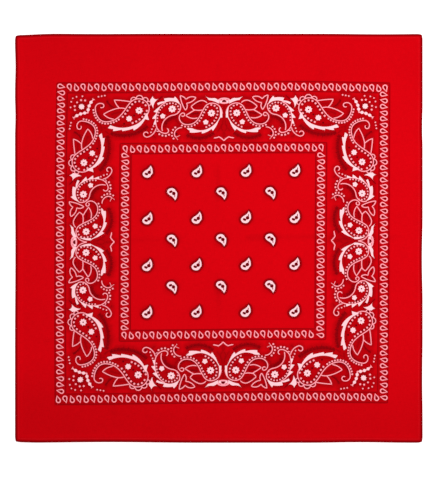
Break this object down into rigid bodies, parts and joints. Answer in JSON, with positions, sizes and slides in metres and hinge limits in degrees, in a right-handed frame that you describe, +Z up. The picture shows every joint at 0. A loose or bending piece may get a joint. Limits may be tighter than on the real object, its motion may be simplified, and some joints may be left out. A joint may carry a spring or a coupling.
{
  "type": "bandana",
  "caption": "Square cotton bandana laid flat, with a bordered paisley print and narrow hems turned under.",
  "frame": {"origin": "middle of the underside, on the surface that the cloth lies on", "axes": "+X to the laid square's right edge, +Y to its top edge, +Z up out of the printed face"},
  "size_m": [0.55, 0.552, 0.0023],
  "materials": {
    "cloth": "matt plain-woven red cotton with a white and dark maroon print",
    "hem": "matt red cotton, turned under and stitched"
  },
  "bodies": {
    "root": {"cloth": "cloth", "hem_left": "hem", "hem_right": "hem", "hem_top": "hem", "hem_bottom": "hem"}
  },
  "joints": []
}
